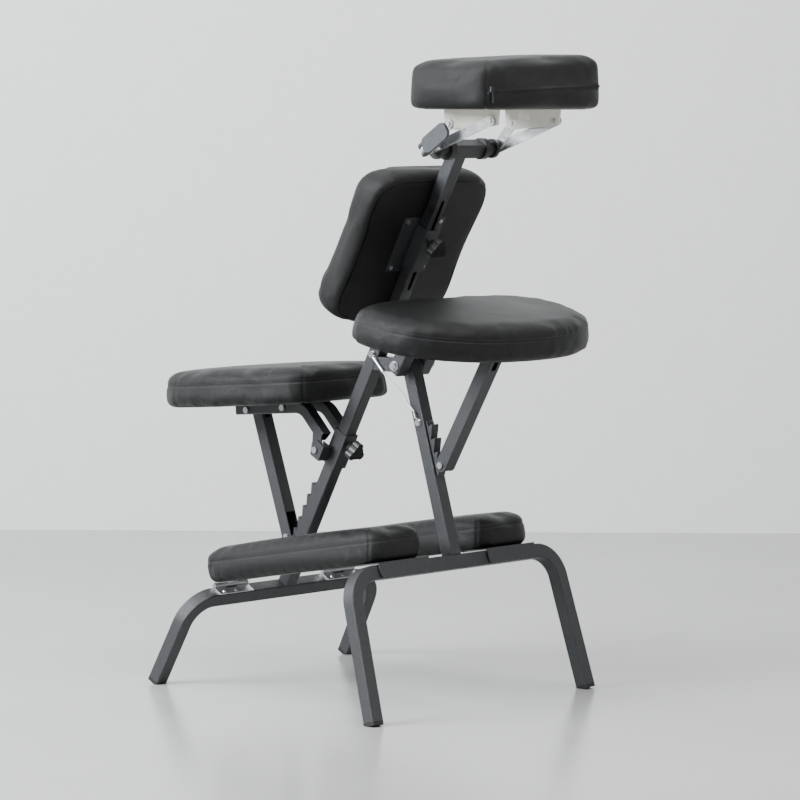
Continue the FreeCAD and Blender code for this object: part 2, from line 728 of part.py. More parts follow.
# ---- knee rests ------------------------------------------------------------------------
# The rest lies on the front bar and turns on a butt hinge on the top face of the rear bar.
knee_pin = rear(-half + 3.0, 0, rear_bar_at + half + knee_hinge_pin_r + knee_leaf_sheet)
front_bar_edge = front(half, 0, front_bar_at + half)
knee_sheet = 3.0
rest_gap = 0.4
run_x = front_bar_edge.x - knee_pin.x
run_z = front_bar_edge.z - knee_pin.z
knee_lift = knee_hinge_pin_r + 2.0          # underside of the pad's steel above the hinge pin
knee_lean = math.asin((rest_gap - knee_lift) / math.hypot(run_x, run_z))
knee_rise = math.degrees(math.atan2(run_z, run_x) + knee_lean)
knee_turn = FreeCAD.Rotation(V(0, 1, 0), -knee_rise)
knee_place = FreeCAD.Placement(V(knee_pin.x, knee_mid_y, knee_pin.z), knee_turn)
bar_reach = math.hypot(run_x, run_z)
knee_back = -4.0                            # rear end of the pad behind the hinge pin


def knee_outline(grow):
    outline = soft_outline(knee_length / 2, knee_width / 2, 5.0, grow=grow)
    outline.translate(V(knee_length / 2 + knee_back, 0, 0))
    return outline


steel_top = knee_lift + knee_sheet
knee_board = cushion(knee_outline(-board_inset), steel_top, board, knee_place)
knee_pad = cushion(knee_outline(0), steel_top + board, knee_foam, knee_place)


def knee_leaf():
    """Moving hinge leaf under the pad, with its knuckle around the pin."""
    w = knee_hinge_width / 2
    leaf = block(0, 62.0, -w, w, knee_lift, steel_top)
    knuckle = rod_y(knee_hinge_pin_r + 2.0, 0, 0, -w / 3, w / 3)
    arm = block(-knee_hinge_pin_r - 2.0, 6.0, -w / 3, w / 3, 0, steel_top)
    bore = rod_y(knee_hinge_pin_r + fit, 0, 0, -w, w)
    return joined([leaf, arm, knuckle]).cut(bore)


def knee_fixed_leaf():
    """Leaf screwed to the top face of the rear bar, built in the rear frame."""
    w = knee_hinge_width / 2
    top = rear_bar_at + half
    pin_s = top + knee_hinge_pin_r + knee_leaf_sheet
    x = -half + 3.0
    parts = [block(x, half - 1.0, -w, w, top, top + knee_leaf_sheet)]
    for low, high in ((-w, -w / 3 - side_gap), (w / 3 + side_gap, w)):
        parts.append(rod_y(knee_hinge_pin_r + 2.0, x, pin_s, low, high))
        parts.append(block(x - 2.0, x + 2.0, low, high, top, pin_s))
    whole = joined(parts).cut(rod_y(knee_hinge_pin_r + fit, x, pin_s, -w - 1, w + 1))
    whole = whole.cut(block(x - 8.0, x + 8.0, -w / 3 - side_gap, w / 3 + side_gap, top - 1, pin_s + 9.0))
    return whole.cut(knee_screw_rods(knee_screw_r + fit, top - 1.0, 12.0))


def knee_screw_rods(radius, low, length):
    rods = []
    for i in (-1, 0, 1):
        at = V(knee_screw_off, i * knee_screw_pitch, low)
        rods.append(Part.makeCylinder(radius, length, at, V(0, 0, 1)))
    return joined(rods)


def knee_screws():
    top = rear_bar_at + half + knee_leaf_sheet
    screws = []
    for i in (-1, 0, 1):
        at = V(knee_screw_off, i * knee_screw_pitch, top)
        head = Part.makeCone(4.6, 3.2, 2.4, at, V(0, 0, 1))
        shank = Part.makeCylinder(knee_screw_r, 6.0, at - V(0, 0, 6.0), V(0, 0, 1))
        screws.append(joined([head, shank]))
    return Part.makeCompound(screws)


def knee_hook():
    """Bent plate under the front end: it lies over the front bar and hooks down its far face."""
    w = hook_width / 2
    over = bar_reach + 5.0
    flat = block(over - 74.0, over, -w, w, knee_lift, steel_top)
    drop = block(0, knee_sheet, -w, w, -hook_drop, 0)
    corner_cut = []
    for sign in (-1, 1):
        r = 12.0
        square = block(-1, knee_sheet + 1, min(sign * (w - r), sign * w), max(sign * (w - r), sign * w),
                       -hook_drop, -hook_drop + r)
        rounder = Part.makeCylinder(r, knee_sheet + 2, V(-1, sign * (w - r), -hook_drop + r), V(1, 0, 0))
        corner_cut.append(square.cut(rounder))
    for piece in corner_cut:
        drop = drop.cut(piece)
    tilt = FreeCAD.Rotation(V(0, 1, 0), knee_rise - front_lean)
    drop = placed(drop, FreeCAD.Placement(V(over - knee_sheet, 0, knee_lift + 1.0), tilt))
    return joined([flat, drop])


hook = knee_hook()
for side, flip in (("right", 1), ("left", -1)):
    def sided(shape):
        return shape if flip > 0 else mirrored(shape)
    nodes["knee_pad_" + side] = sided(knee_pad)
    nodes["knee_board_" + side] = sided(knee_board)
    nodes["knee_leaf_" + side] = sided(placed(knee_leaf(), knee_place))
    nodes["knee_hook_" + side] = sided(placed(hook, knee_place))

shift_y = FreeCAD.Placement(V(0, knee_mid_y, 0), FreeCAD.Rotation())
screw_holes = knee_screw_rods(knee_screw_r + fit, rear_bar_at + half - 6.0, 12.0)
screw_holes = both(placed(placed(screw_holes, rear_place), shift_y))
nodes["rear_leg_frame"] = nodes["rear_leg_frame"].cut(screw_holes)
nodes["knee_fixed_leaves"] = both(placed(placed(knee_fixed_leaf(), rear_place), shift_y))
nodes["knee_hinge_screws"] = both(placed(placed(knee_screws(), rear_place), shift_y))
w_pin = knee_hinge_width / 2
nodes["knee_hinge_pins"] = both(rod_y(knee_hinge_pin_r, knee_pin.x, knee_pin.z, knee_mid_y - w_pin,
                                      knee_mid_y + w_pin))

# ---- chest pad -------------------------------------------------------------------------
track_half = track_side / 2
hat_in = track_half + slide_fit
hat_out = hat_in + sheet
wing_back = -track_half - soft_gap          # the wings lie on this plane, against the board
chest_turn = FreeCAD.Rotation(V(0, 1, 0), rear_lean - 90)
chest_place = FreeCAD.Placement(rear(wing_back - sheet, 0, chest_at), chest_turn)
nodes["chest_board"] = cushion(
    soft_outline(chest_half_height, chest_half_width, 4.2, 0.02, 0.2, grow=-board_inset), 0, board, chest_place)
nodes["chest_pad"] = cushion(
    soft_outline(chest_half_height, chest_half_width, 4.2, 0.02, 0.2), board, chest_foam, chest_place)


def chest_bracket():
    low = bracket_at - bracket_length / 2
    high = bracket_at + bracket_length / 2
    back = wing_back - sheet
    web = block(hat_in, hat_out, -hat_out, hat_out, low, high)
    cheek = slab([(back, low), (hat_out, low), (hat_out, high), (back, high)], hat_in, hat_out)
    wing = block(back, wing_back, hat_in, bracket_wing, low - wing_beyond, high + wing_beyond)
    for s in (low - wing_beyond + 10.0, high + wing_beyond - 10.0):
        wing = wing.cut(Part.makeCylinder(2.4, 10.0, V(back - 1, bracket_wing - 12.0, s), V(1, 0, 0)))
    stud_hole = Part.makeCylinder(pin_r + fit, 10.0, V(hat_in - 2, 0, chest_knob_at), V(1, 0, 0))
    return joined([web, cheek, mirrored(cheek), wing, mirrored(wing)]).cut(stud_hole)


def chest_screws():
    low = bracket_at - bracket_length / 2
    high = bracket_at + bracket_length / 2
    screws = []
    for s in (low - wing_beyond + 10.0, high + wing_beyond - 10.0):
        for sign in (-1, 1):
            y = sign * (bracket_wing - 12.0)
            head = Part.makeCylinder(4.6, 2.6, V(wing_back, y, s), V(1, 0, 0))
            shank = Part.makeCylinder(2.3, sheet + 1.0, V(wing_back - sheet, y, s), V(1, 0, 0))
            screws.append(joined([head, shank]))
    return Part.makeCompound(screws)


nodes["chest_bracket"] = placed(chest_bracket(), rear_place)
nodes["chest_screws"] = placed(chest_screws(), rear_place)
chest_knob = wing_knob(hat_out + 16.0, track_half - 7.0)
nut_plate = block(track_half - 8.0, track_half - 2.0 - slide_fit, -8.0, 8.0, -8.0, 8.0)
nut_plate = nut_plate.cut(Part.makeCylinder(pin_r + fit, 20.0, V(0, 0, 0), V(1, 0, 0)))
nut_plate.translate(V(0, 0, chest_knob_at))
nodes["chest_nut"] = placed(nut_plate, rear_place)
chest_knob.translate(V(0, 0, chest_knob_at))
nodes["chest_knob"] = placed(chest_knob, rear_place)


# ---- head post -------------------------------------------------------------------------
def head_post():
    post = post_tube(head_post_low, cross_at - half)
    return post


def cross_tube():
    bar = square_tube(tube, 2.0, 2 * cross_half, tube_corner)
    across = FreeCAD.Rotation(V(0, 0, 1), V(0, 1, 0))
    bar.Placement = FreeCAD.Placement(V(cross_off, -cross_half, cross_at), across)
    return bar


nodes["head_post"] = placed(head_post(), rear_place)
nodes["head_cross_tube"] = placed(cross_tube(), rear_place)
cradle_axle = rear(cross_off, 0, cross_at)


def clutch_bush():
    """Plastic end piece: a plug in the cross tube and a stepped disc that the lever is clamped to."""
    plug_side = tube - 4.0 - 2 * fit
    plug = rounded_bar(plug_side, plug_side, 16.0, 1.5)
    plug.Placement = FreeCAD.Placement(V(cross_off, cross_half - 16.0, cross_at), FreeCAD.Rotation(V(0, 0, 1), V(0, 1, 0)))
    disc = rod_y(bush_r, cross_off, cross_at, cross_half, cross_half + 14.0)
    neck = rod_y(bush_r - 7.0, cross_off, cross_at, cross_half + 14.0, cross_half + bush_length - 8.0)
    face = rod_y(bush_r - 2.0, cross_off, cross_at, cross_half + bush_length - 8.0, cross_half + bush_length)
    bore = rod_y(pin_r + fit, cross_off, cross_at, cross_half - 20.0, cross_half + bush_length + 1)
    return joined([plug, disc, neck, face]).cut(bore)


nodes["clutch_bushes"] = placed(both(clutch_bush()), rear_place)

# ---- face cradle -----------------------------------------------------------------------
pin_rear = V(cradle_axle.x + lever_rear[0], 0, cradle_axle.z + lever_rear[1])
pin_front = V(cradle_axle.x + lever_front[0], 0, cradle_axle.z + lever_front[1])
lever_in = lever_y - lever_thick
lever_out = lever_y + lever_thick + side_gap


def lever(end, y0, y1):
    bar = link((cradle_axle.x, cradle_axle.z), (end.x, end.z), lever_width / 2, y0, y1)
    bar = bar.cut(rod_y(pin_r + fit, cradle_axle.x, cradle_axle.z, y0 - 1, y1 + 1))
    return bar.cut(rod_y(pin_r - 0.5 + fit, end.x, end.z, y0 - 1, y1 + 1))


def levers():
    inner = lever(pin_rear, lever_in, lever_y)
    outer = lever(pin_front, lever_y + side_gap, lever_out)
    return Part.makeCompound([inner, mirrored(inner), outer, mirrored(outer)])


nodes["cradle_levers"] = levers()
flange_out = lever_in - 0.3
flange = 5.0
platform_low = max(pin_rear.z, pin_front.z) + platform_above_pin
platform_mid = cradle_axle.x + head_mid


def platform():
    plate = block(platform_mid - platform_length / 2, platform_mid + platform_length / 2,
                  -platform_width / 2, platform_width / 2, platform_low, platform_low + platform_thick)
    upright = [e for e in plate.Edges if abs(e.Vertexes[0].Z - e.Vertexes[-1].Z) > 1]
    plate = plate.makeFillet(18.0, upright)
    low = platform_low
    side = slab([(pin_rear.x - 16.0, low), (pin_front.x + 16.0, low), (pin_front.x + 13.0, pin_front.z - 8.0),
                 (pin_front.x - 14.0, pin_front.z - 12.0), (pin_rear.x + 14.0, pin_rear.z - 12.0),
                 (pin_rear.x - 13.0, pin_rear.z - 8.0)], flange_out - flange, flange_out)
    for at in (pin_rear, pin_front):
        side = side.cut(rod_y(pin_r - 0.5 + fit, at.x, at.z, 0, flange_out + 1))
    block_mid = block(pin_front.x - 24.0, pin_front.x, -16.0, 16.0, low - 20.0, low)
    return joined([plate, side, mirrored(side), block_mid])


nodes["cradle_platform"] = platform()


def cradle_rivets():
    rivets = []
    for at in (pin_rear, pin_front):
        outer = lever_y if at is pin_rear else lever_out
        shank = rod_y(pin_r - 0.5, at.x, at.z, flange_out - flange - 2.0, outer + 2.0)
        head = rod_y(pin_r + 1.5, at.x, at.z, outer + 0.1, outer + 2.0)
        tail = rod_y(pin_r + 1.5, at.x, at.z, flange_out - flange - 2.0, flange_out - flange)
        rivets.append(joined([shank, head, tail]))
    return Part.makeCompound(rivets + [mirrored(r) for r in rivets])


nodes["cradle_rivets"] = cradle_rivets()


cam_turn = FreeCAD.Rotation(V(0, 1, 0), cam_lean)
cam_axis = cam_turn.multVec(V(1, 0, 0))
cam_eye_r = 7.0
cam_eye_half = 6.0
cam_pin_r = 3.0


def cradle_axle_rod():
    shank = rod_y(pin_r, cradle_axle.x, cradle_axle.z, -cam_out - 8.0, lever_out + 8.0)
    nut = hex_y(14.0, cradle_axle.x, cradle_axle.z, lever_out + 2.4, lever_out + 10.0)
    washer = rod_y(9.0, cradle_axle.x, cradle_axle.z, lever_out + 0.3, lever_out + 2.4)
    middle = V(cradle_axle.x, -cam_out, cradle_axle.z)
    eye = Part.makeCylinder(cam_eye_r, 2 * cam_eye_half, middle - cam_axis * cam_eye_half, cam_axis)
    bore = Part.makeCylinder(cam_pin_r + fit, 40.0, middle - cam_axis * 20.0, cam_axis)
    return joined([shank, nut, washer, eye]).cut(bore)


nodes["cradle_axle_rod"] = cradle_axle_rod()


def cam_lever():
    """Quick-release cam: two cheeks on a cross pin and a flat paddle."""
    inner = cam_eye_half + side_gap
    cheek = 5.0
    outer = inner + cheek
    parts = [Part.makeCylinder(cam_pin_r, 2 * outer, V(-outer, 0, 0), V(1, 0, 0))]
    for x0 in (-outer, inner):
        parts.append(Part.makeCylinder(10.0, cheek, V(x0, 0, 0), V(1, 0, 0)))
        parts.append(block(x0, x0 + cheek, -12.0, 0, 0, 14.0))
    parts.append(block(-outer, outer, -12.0, -4.0, cam_eye_r + 1.0, cam_eye_r + 13.0))
    paddle = block(-17.0, 17.0, -12.0, -5.0, cam_eye_r + 1.0, cam_length + 8.0)
    long_edges = [e for e in paddle.Edges if abs(e.Vertexes[0].Y - e.Vertexes[-1].Y) > 5]
    parts.append(paddle.makeFillet(12.0, long_edges))
    return placed(joined(parts), FreeCAD.Placement(V(cradle_axle.x, -cam_out, cradle_axle.z), cam_turn))


nodes["cam_lever"] = cam_lever()

head_base = platform_low + platform_thick
head_place = FreeCAD.Placement(V(platform_mid, 0, head_base), FreeCAD.Rotation())
nodes["head_cushion"] = cushion(soft_outline(head_length / 2, head_width / 2, 7.0), 0, head_foam, head_place)


# ---- centre the chair over the origin and write the pieces -----------------------------
def middle_x():
    low = min(shape.BoundBox.XMin for shape in nodes.values())
    high = max(shape.BoundBox.XMax for shape in nodes.values())
    return (low + high) / 2


centre_x = middle_x()
os.makedirs("parts", exist_ok=True)
for name in sorted(nodes):
    shape = nodes[name].copy()
    shape.translate(V(-centre_x, 0, 0))
    if not shape.isValid():
        print("not valid:", name)
    shape.exportStep("parts/" + name + ".step")
    nodes[name] = shape
print(len(nodes), "pieces, centre_x", round(centre_x, 3))
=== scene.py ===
import json
import math

import bmesh
import bpy
from mathutils import Matrix, Vector, noise


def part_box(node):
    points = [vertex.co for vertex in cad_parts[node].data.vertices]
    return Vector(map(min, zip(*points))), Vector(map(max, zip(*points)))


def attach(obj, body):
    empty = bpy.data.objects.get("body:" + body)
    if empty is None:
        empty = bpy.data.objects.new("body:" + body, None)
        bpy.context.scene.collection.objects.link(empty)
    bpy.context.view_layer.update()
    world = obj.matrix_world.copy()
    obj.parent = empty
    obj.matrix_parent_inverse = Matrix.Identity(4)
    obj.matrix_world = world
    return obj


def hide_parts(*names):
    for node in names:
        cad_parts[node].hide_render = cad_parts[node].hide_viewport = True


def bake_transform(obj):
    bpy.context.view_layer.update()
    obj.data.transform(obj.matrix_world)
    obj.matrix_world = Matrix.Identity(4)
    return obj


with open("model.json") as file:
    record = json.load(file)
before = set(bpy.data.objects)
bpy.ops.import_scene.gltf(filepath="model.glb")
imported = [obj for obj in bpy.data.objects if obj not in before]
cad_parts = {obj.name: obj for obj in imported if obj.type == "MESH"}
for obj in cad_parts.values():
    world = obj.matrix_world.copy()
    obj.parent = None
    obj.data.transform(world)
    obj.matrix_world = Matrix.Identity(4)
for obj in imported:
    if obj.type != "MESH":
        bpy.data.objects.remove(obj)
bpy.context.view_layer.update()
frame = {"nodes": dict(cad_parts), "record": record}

nodes = frame["nodes"]
scene = bpy.context.scene
print("frame loaded:", len(nodes), "nodes")

# the middle of the frame lies this far in front of the rear foot line
middleX = 0.341276


# ---- materials
def newMaterial(name):
    material = bpy.data.materials.new(name)
    material.use_nodes = True
    tree = material.node_tree
    shader = tree.nodes["Principled BSDF"]
    return material, tree, shader


def addNode(tree, kind, **values):
    node = tree.nodes.new(kind)
    for key, value in values.items():
        if key in node.inputs:
            node.inputs[key].default_value = value
        else:
            setattr(node, key, value)
    return node


def objectPoint(tree, stretch=(1, 1, 1)):
    place = addNode(tree, "ShaderNodeTexCoord")
    mapping = addNode(tree, "ShaderNodeMapping")
    mapping.inputs["Scale"].default_value = stretch
    tree.links.new(place.outputs["Object"], mapping.inputs["Vector"])
    return mapping.outputs["Vector"]


def noiseOn(tree, point, scale, detail=3.0, rough=0.5):
    node = addNode(tree, "ShaderNodeTexNoise", Scale=scale, Detail=detail, Roughness=rough)
    tree.links.new(point, node.inputs["Vector"])
    return node.outputs["Fac"]


def cellsOn(tree, point, scale, feature="F1"):
    node = addNode(tree, "ShaderNodeTexVoronoi", Scale=scale)
    node.feature = feature
    tree.links.new(point, node.inputs["Vector"])
    return node.outputs["Distance"]


def ramp(tree, value, stops):
    node = addNode(tree, "ShaderNodeValToRGB")
    points = node.color_ramp.elements
    points[0].position, points[0].color = stops[0][0], (*stops[0][1], 1)
    points[1].position, points[1].color = stops[-1][0], (*stops[-1][1], 1)
    for at, colour in stops[1:-1]:
        points.new(at).color = (*colour, 1)
    tree.links.new(value, node.inputs["Fac"])
    return node.outputs["Color"]


def spread(tree, value, low, high):
    node = addNode(tree, "ShaderNodeMapRange")
    node.inputs["To Min"].default_value = low
    node.inputs["To Max"].default_value = high
    tree.links.new(value, node.inputs["Value"])
    return node.outputs["Result"]


def bump(tree, shader, layers):
    normal = None
    for height, strength, distance in layers:
        node = addNode(tree, "ShaderNodeBump", Strength=strength, Distance=distance)
        tree.links.new(height, node.inputs["Height"])
        if normal:
            tree.links.new(normal, node.inputs["Normal"])
        normal = node.outputs["Normal"]
    tree.links.new(normal, shader.inputs["Normal"])


def hammertone():
    settings = {"dark": (0.004, 0.0042, 0.0046), "middle": (0.010, 0.0106, 0.0116),
                "light": (0.036, 0.038, 0.042), "blotch": 520, "speck": 1500}
    material, tree, shader = newMaterial("hammertonePaint")
    point = objectPoint(tree)
    blotch = cellsOn(tree, point, settings["blotch"])
    speck = noiseOn(tree, point, settings["speck"], 2)
    mix = addNode(tree, "ShaderNodeMath", operation="MULTIPLY_ADD")
    tree.links.new(blotch, mix.inputs[0])
    mix.inputs[1].default_value = 0.9
    tree.links.new(speck, mix.inputs[2])
    colour = ramp(tree, mix.outputs[0], [(0.42, settings["dark"]), (0.72, settings["middle"]),
                                         (1.0, settings["light"])])
    tree.links.new(colour, shader.inputs["Base Color"])
    tree.links.new(spread(tree, speck, 0.3, 0.5), shader.inputs["Roughness"])
    shader.inputs["Metallic"].default_value = 0.1
    bump(tree, shader, [(blotch, 0.5, 0.0012), (noiseOn(tree, point, 260, 2), 0.18, 0.0012)])
    return material


def leather():
    settings = {"low": (0.0012, 0.0012, 0.0014), "high": (0.0036, 0.0038, 0.0042),
                "grain": 520, "fine": 1400}
    material, tree, shader = newMaterial("grainedLeather")
    point = objectPoint(tree)
    cells = cellsOn(tree, point, settings["grain"], "DISTANCE_TO_EDGE")
    fine = noiseOn(tree, point, settings["fine"], 3)
    patch = noiseOn(tree, point, 9, 3)
    tree.links.new(ramp(tree, fine, [(0.3, settings["low"]), (0.75, settings["high"])]),
                   shader.inputs["Base Color"])
    tree.links.new(spread(tree, patch, 0.34, 0.52), shader.inputs["Roughness"])
    shader.inputs["Specular IOR Level"].default_value = 0.3
    bump(tree, shader, [(spread(tree, cells, 0, 1), 0.5, 0.0018), (fine, 0.35, 0.0007),
                        (noiseOn(tree, objectPoint(tree, (1, 1.7, 1)), 46, 3), 0.1, 0.004)])
    return material


def felt():
    material, tree, shader = newMaterial("blackFelt")
    point = objectPoint(tree)
    fuzz = noiseOn(tree, point, 1600, 4, 0.7)
    tree.links.new(ramp(tree, fuzz, [(0.3, (0.0008, 0.0008, 0.0008)), (0.72, (0.006, 0.006, 0.006))]),
                   shader.inputs["Base Color"])
    shader.inputs["Roughness"].default_value = 0.95
    shader.inputs["Specular IOR Level"].default_value = 0.1
    bump(tree, shader, [(fuzz, 0.8, 0.0016), (noiseOn(tree, point, 90, 2), 0.15, 0.002)])
    return material


def metal(name, colour, rough, brushed=(1, 1, 1), worn=0.0, metallic=1.0):
    material, tree, shader = newMaterial(name)
    point = objectPoint(tree, brushed)
    scratch = noiseOn(tree, point, 420, 3)
    soft = noiseOn(tree, objectPoint(tree), 22, 3)
    darker = tuple(c * (0.72 - worn) for c in colour)
    tree.links.new(ramp(tree, soft, [(0.3, darker), (0.62, colour)]), shader.inputs["Base Color"])
    tree.links.new(spread(tree, scratch, rough * 0.7, rough * 1.35), shader.inputs["Roughness"])
    shader.inputs["Metallic"].default_value = metallic
    bump(tree, shader, [(scratch, 0.12, 0.0006)])
    return material


def moulded(name, low, high, rough, grain=900, strength=0.25):
    material, tree, shader = newMaterial(name)
    point = objectPoint(tree)
    spark = noiseOn(tree, point, grain, 2)
    tone = ramp(tree, noiseOn(tree, point, 30, 3), [(0.3, low), (0.7, high)])
    tree.links.new(tone, shader.inputs["Base Color"])
    tree.links.new(spread(tree, spark, rough * 0.8, rough * 1.2), shader.inputs["Roughness"])
    bump(tree, shader, [(spark, strength, 0.0005)])
    return material


def cableCoat():
    material, tree, shader = newMaterial("cableCoat")
    wave = addNode(tree, "ShaderNodeTexWave", Scale=260, Distortion=0.4)
    tree.links.new(objectPoint(tree, (1, 0.3, 1)), wave.inputs["Vector"])
    tone = ramp(tree, wave.outputs["Fac"], [(0.2, (0.62, 0.62, 0.6)), (0.8, (0.86, 0.86, 0.84))])
    tree.links.new(tone, shader.inputs["Base Color"])
    shader.inputs["Roughness"].default_value = 0.3
    bump(tree, shader, [(wave.outputs["Fac"], 0.3, 0.0006)])
    return material


finish = {
    "hammertone_steel": hammertone(),
    "upholstery": leather(),
    "felt": felt(),
    "plywood_black": moulded("blackUndercloth", (0.006, 0.006, 0.006), (0.014, 0.014, 0.014), 0.85,
                             1800, 0.6),
    "zinc_steel": metal("zincPlate", (0.66, 0.67, 0.68), 0.3),
    "track_steel": metal("blackenedSteel", (0.075, 0.077, 0.082), 0.36, (1, 1, 0.1), 0.2, 0.8),
    "lever_aluminium": metal("brightAluminium", (0.9, 0.91, 0.92), 0.24, (0.25, 4, 1)),
    "ivory_plastic": moulded("ivoryPlastic", (0.66, 0.645, 0.58), (0.74, 0.725, 0.66), 0.42),
    "black_plastic": moulded("blackPlastic", (0.008, 0.008, 0.009), (0.018, 0.018, 0.019), 0.36),
    "grey_plastic": moulded("greyPlastic", (0.045, 0.05, 0.056), (0.075, 0.08, 0.088), 0.4),
    "foot_rubber": moulded("footRubber", (0.006, 0.006, 0.006), (0.014, 0.014, 0.014), 0.7, 700, 0.5),
    "cable_coat": cableCoat(),
}
threadFinish = moulded("sewingThread", (0.02, 0.021, 0.023), (0.075, 0.078, 0.083), 0.6, 2600, 0.8)
tapeFinish = moulded("zipTape", (0.004, 0.004, 0.004), (0.011, 0.011, 0.011), 0.8, 2200, 0.8)
slots = {part["node"]: part["material_slot"] for part in frame["record"]["subparts"]}
for name, node in nodes.items():
    node.data.materials.clear()
    node.data.materials.append(finish[slots[name]])
print("materials set on", len(nodes), "nodes")


# ---- camera, floor, wall and light
shot = {"place": (5.6367, -5.3812, 1.2855), "lens": 162.0,
        "azimuth": 43.993, "down": 5.110, "roll": 0.27}


def placeCamera():
    data = bpy.data.cameras.new("camera")
    data.lens = shot["lens"]
    data.sensor_width = 36
    data.clip_end = 60
    camera = bpy.data.objects.new("camera", data)
    scene.collection.objects.link(camera)
    turn = Matrix.Rotation(math.radians(shot["azimuth"]), 4, "Z")
    turn = turn @ Matrix.Rotation(math.radians(90 - shot["down"]), 4, "X")
    turn = turn @ Matrix.Rotation(math.radians(shot["roll"]), 4, "Z")
    x, y, z = shot["place"]
    camera.matrix_world = Matrix.Translation((x - middleX, y, z)) @ turn
    scene.camera = camera


placeCamera()

room = {"wallBehind": 2.62, "size": 30.0, "floor": (0.4, 0.398, 0.39), "wall": (0.74, 0.74, 0.735),
        "key": 640, "top": 230, "rim": 50, "sky": 0.42}


def stagePlane(name, material, place):
    mesh = bpy.data.meshes.new(name)
    bm = bmesh.new()
    bmesh.ops.create_grid(bm, x_segments=1, y_segments=1, size=room["size"] / 2)
    bmesh.ops.transform(bm, matrix=place, verts=bm.verts)
    bm.to_mesh(mesh)
    bm.free()
    mesh.materials.append(material)
    plane = bpy.data.objects.new(name, mesh)
    scene.collection.objects.link(plane)


def softLight(name, power, size, place, target, colour):
    data = bpy.data.lights.new(name, "AREA")
    data.energy = power
    data.shape = "RECTANGLE"
    data.size, data.size_y = size
    data.color = colour
    light = bpy.data.objects.new(name, data)
    scene.collection.objects.link(light)
    aim = (Vector(target) - Vector(place)).to_track_quat("-Z", "Y")
    light.matrix_world = Matrix.Translation(place) @ aim.to_matrix().to_4x4()


def openBehind(material):
    tree = material.node_tree
    side = addNode(tree, "ShaderNodeNewGeometry")
    clear = addNode(tree, "ShaderNodeBsdfTransparent")
    mix = addNode(tree, "ShaderNodeMixShader")
    tree.links.new(side.outputs["Backfacing"], mix.inputs[0])
    tree.links.new(tree.nodes["Principled BSDF"].outputs[0], mix.inputs[1])
    tree.links.new(clear.outputs[0], mix.inputs[2])
    tree.links.new(mix.outputs[0], tree.nodes["Material Output"].inputs["Surface"])


def buildRoom():
    floor, tree, shader = newMaterial("polishedFloor")
    point = objectPoint(tree)
    base = room["floor"]
    stops = [(0.35, tuple(c * 0.93 for c in base)), (0.65, base)]
    tree.links.new(ramp(tree, noiseOn(tree, point, 1.3, 4), stops), shader.inputs["Base Color"])
    tree.links.new(spread(tree, noiseOn(tree, point, 5, 3), 0.16, 0.27), shader.inputs["Roughness"])
    wall = moulded("paintedWall", tuple(c * 0.97 for c in room["wall"]), room["wall"], 0.9, 200, 0.05)
    openBehind(wall)
    stagePlane("floor", floor, Matrix.Identity(4))
    heading = math.radians(shot["azimuth"])
    back = Vector((-math.sin(heading), math.cos(heading), 0)) * room["wallBehind"]
    turn = Matrix.Rotation(heading, 4, "Z") @ Matrix.Rotation(math.pi / 2, 4, "X")
    upright = Matrix.Translation(back) @ turn
    stagePlane("wall", wall, upright)
    middle = (0, 0, 0.6)
    softLight("key", room["key"], (2.6, 2.2), (-1.6, -4.2, 2.9), middle, (0.93, 0.97, 1.0))
    softLight("top", room["top"], (3.2, 3.2), (0.6, -0.8, 4.2), middle, (1.0, 1.0, 1.0))
    softLight("rim", room["rim"], (1.6, 2.4), (3.6, 1.0, 2.2), middle, (1.0, 0.97, 0.93))
    world = bpy.data.worlds.new("softSky")
    scene.world = world
    world.use_nodes = True
    world.node_tree.nodes["Background"].inputs["Color"].default_value = (0.86, 0.89, 0.93, 1)
    world.node_tree.nodes["Background"].inputs["Strength"].default_value = room["sky"]


buildRoom()
print("camera, floor, wall and lights set")

# ---- safety cable
cable = {"route": [(0.41075, -0.0192, 0.67466), (0.43275, -0.0192, 0.65366),
                   (0.46175, -0.0192, 0.64066), (0.48079, -0.0192, 0.61435),
                   (0.50079, -0.0192, 0.59735)],
         "diameter": 0.004}


def meshOf(piece):
    bpy.context.view_layer.update()
    graph = bpy.context.evaluated_depsgraph_get()
    return bpy.data.meshes.new_from_object(piece.evaluated_get(graph))


def buildCable():
    curve = bpy.data.curves.new("cableLine", "CURVE")
    curve.dimensions = "3D"
    curve.bevel_resolution = 4
    curve.resolution_u = 14
    curve.use_fill_caps = True
    line = curve.splines.new("NURBS")
    line.points.add(len(cable["route"]) - 1)
    for point, place in zip(line.points, cable["route"]):
        point.co = (place[0] - middleX, place[1], place[2], 1)
    line.order_u = 3
    line.use_endpoint_u = True
    guide = bpy.data.objects.new("cableLine", curve)
    scene.collection.objects.link(guide)
    path = [tuple(vert.co) for vert in meshOf(guide).vertices]
    curve.bevel_depth = cable["diameter"] / 2
    piece = bpy.data.objects.new("safetyCable", meshOf(guide))
    bpy.data.objects.remove(guide)
    scene.collection.objects.link(piece)
    piece.data.materials.clear()
    piece.data.materials.append(finish["cable_coat"])
    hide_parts("safety_cable")
    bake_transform(piece)


buildCable()
print("safety cable laid")


# ---- cushions
chestLean = -62.1


def leaned(angle):
    a = math.radians(angle)
    return Vector((math.sin(a), 0, math.cos(a)))


def startPad(settings):
    source = nodes[settings["node"]].data.copy()
    bm = bmesh.new()
    bm.from_mesh(source)
    bmesh.ops.remove_doubles(bm, verts=bm.verts, dist=1e-5)
    bm.to_mesh(source)
    bm.free()
    pad = bpy.data.objects.new(settings["name"], source)
    scene.collection.objects.link(pad)
    applyModifier(pad, "REMESH", mode="VOXEL", voxel_size=settings["voxel"])
    calm(pad, settings["round"])
    bm = bmesh.new()
    bm.from_mesh(pad.data)
    bm.normal_update()
    for vert in bm.verts:
        vert.co -= vert.normal * settings["shrink"]
    bm.to_mesh(pad.data)
    bm.free()
    return pad


